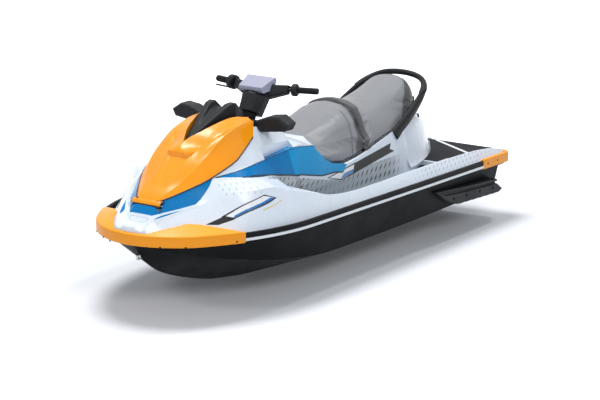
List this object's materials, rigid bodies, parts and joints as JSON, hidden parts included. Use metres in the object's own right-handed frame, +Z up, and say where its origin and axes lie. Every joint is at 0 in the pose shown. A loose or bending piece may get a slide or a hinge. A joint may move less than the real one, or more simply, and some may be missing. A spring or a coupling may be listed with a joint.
{
  "type": "personal watercraft",
  "caption": "Sit-down personal watercraft with a stepped seat, opening hood, handlebar steering and a steered water jet with reverse bucket.",
  "frame": {"origin": "centreline at the transom, on the still waterline", "axes": "+X forward to the bow, +Y to port, +Z up from the waterline"},
  "size_m": [3.164, 1.192, 1.1399],
  "materials": {
    "hull": "semi-gloss near-black moulding",
    "deck": "gloss white gelcoat with a cool cast",
    "trim_blue": "gloss blue",
    "hood_paint": "gloss orange paint",
    "bumper": "satin orange bumper",
    "console": "textured charcoal",
    "rail": "satin black",
    "strip": "satin silver",
    "seat": "grey vinyl",
    "seat_rim": "charcoal vinyl",
    "mat": "grooved dark grey foam",
    "jet_metal": "cast, satin",
    "steel": "stainless",
    "engine": "plain block",
    "bar": "black coated tube",
    "grip": "ribbed black",
    "pad": "soft lilac grey pad",
    "mirror": "mirror glass"
  },
  "bodies": {
    "craft": {"hull": "hull", "deck": "deck", "bow_trim": "trim_blue", "hood_hinge": "steel", "console": "console", "meter_cowl": "console", "side_cover_left": "trim_blue", "side_cover_right": "trim_blue", "rail_left": "rail", "rail_right": "rail", "rail_strip_left": "strip", "rail_strip_right": "strip", "bow_bumper": "bumper", "stern_bumper_left": "bumper", "stern_bumper_right": "bumper", "seat_front": "seat", "seat_rear": "seat", "seat_bolster": "seat_rim", "tail_block": "console", "grab_handle": "console", "stern_mat": "mat", "well_mat_left": "mat", "well_mat_right": "mat", "sponson_left": "console", "sponson_right": "console", "pump_housing": "jet_metal", "ride_plate": "jet_metal", "intake_grate": "jet_metal", "mirror_left": "console", "mirror_right": "console", "mirror_glass_left": "mirror", "mirror_glass_right": "mirror", "storage_bin": "mat", "engine": "engine", "bow_eye": "steel", "stern_eye": "steel", "drain_plugs": "grip"},
    "hood": {"hood": "hood_paint"},
    "steering": {"steering_post": "steel", "handlebar": "bar", "grip_left": "grip", "grip_right": "grip", "switch_box": "console", "throttle_housing": "console", "throttle_lever": "console", "steering_cover": "console", "bar_pad": "pad"},
    "nozzle": {"steering_nozzle": "jet_metal"},
    "bucket": {"reverse_bucket": "console"},
    "impeller": {"impeller": "steel"}
  },
  "joints": [
    {"name": "hood_hinge", "type": "hinge", "parent": "craft", "child": "hood", "pos_m": [2.922, 0, 0.368], "axis": [0, 1, 0], "range_deg": [0, 50]},
    {"name": "steering", "type": "hinge", "parent": "craft", "child": "steering", "pos_m": [1.99, 0, 0.69], "axis": [-0.5, 0, 0.866], "range_deg": [-25, 25]},
    {"name": "nozzle_steer", "type": "hinge", "parent": "craft", "child": "nozzle", "pos_m": [0.09, 0, -0.112], "axis": [0, 0, 1], "range_deg": [-20, 20]},
    {"name": "bucket_lower", "type": "hinge", "parent": "craft", "child": "bucket", "pos_m": [0.062, 0, -0.112], "axis": [0, -1, 0], "range_deg": [0, 80]},
    {"name": "impeller_spin", "type": "hinge", "parent": "craft", "child": "impeller", "pos_m": [0.3, 0, -0.112], "axis": [1, 0, 0], "continuous": true}
  ],
  "couplings": [
    {"joint": "nozzle_steer", "follows": "steering", "ratio": -0.8}
  ]
}
